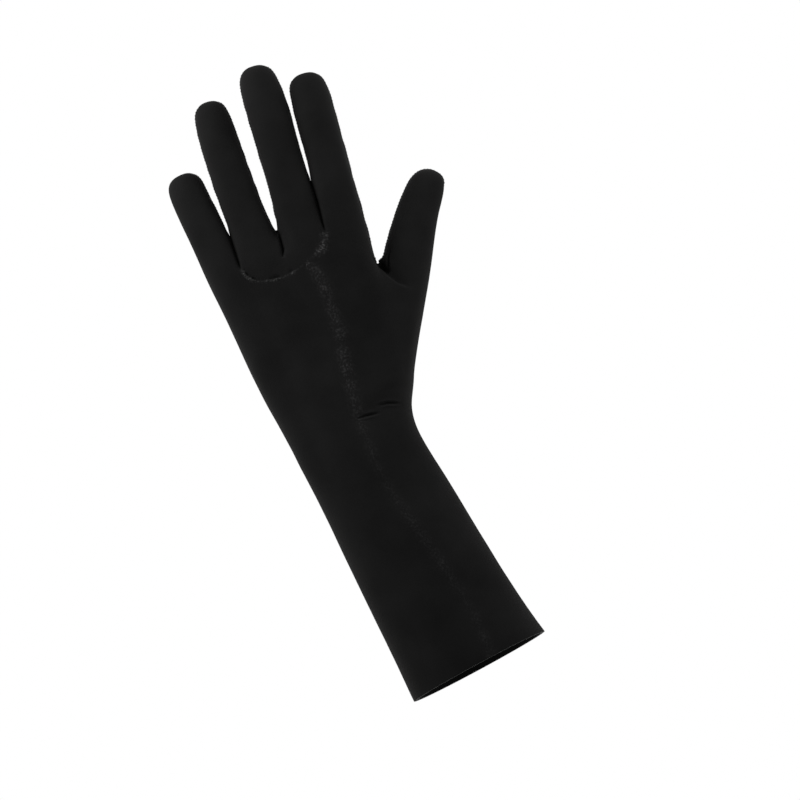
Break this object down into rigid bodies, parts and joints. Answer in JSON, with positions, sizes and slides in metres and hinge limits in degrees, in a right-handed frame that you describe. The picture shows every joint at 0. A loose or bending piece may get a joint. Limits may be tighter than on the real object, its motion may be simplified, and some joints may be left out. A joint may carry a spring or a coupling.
{
  "type": "neoprene glove",
  "caption": "Long-sleeved black neoprene swimming glove for the left hand, in its worn shape with fingers spread, hollow from the cuff to the fingertips.",
  "frame": {"origin": "middle of the cuff's mouth, in the plane of its cut edge", "axes": "+Z from the cuff along the forearm to the fingertips, +X to the thumb side, -Y out of the back of the hand"},
  "size_m": [0.1394, 0.0632, 0.3301],
  "materials": {
    "neoprene_jersey": "closed-cell neoprene foam faced on both sides with black nylon jersey, a fine matt knit",
    "seam_thread": "dark nylon blind-stitch thread and the seam ridge that it draws up",
    "foam_edge": "cut edge of the foam between its two jersey faces"
  },
  "bodies": {
    "root": {"palm_panel": "neoprene_jersey", "little_side_back_panel": "neoprene_jersey", "thumb_side_back_panel": "neoprene_jersey", "finger_back_panel": "neoprene_jersey"}
  },
  "joints": []
}
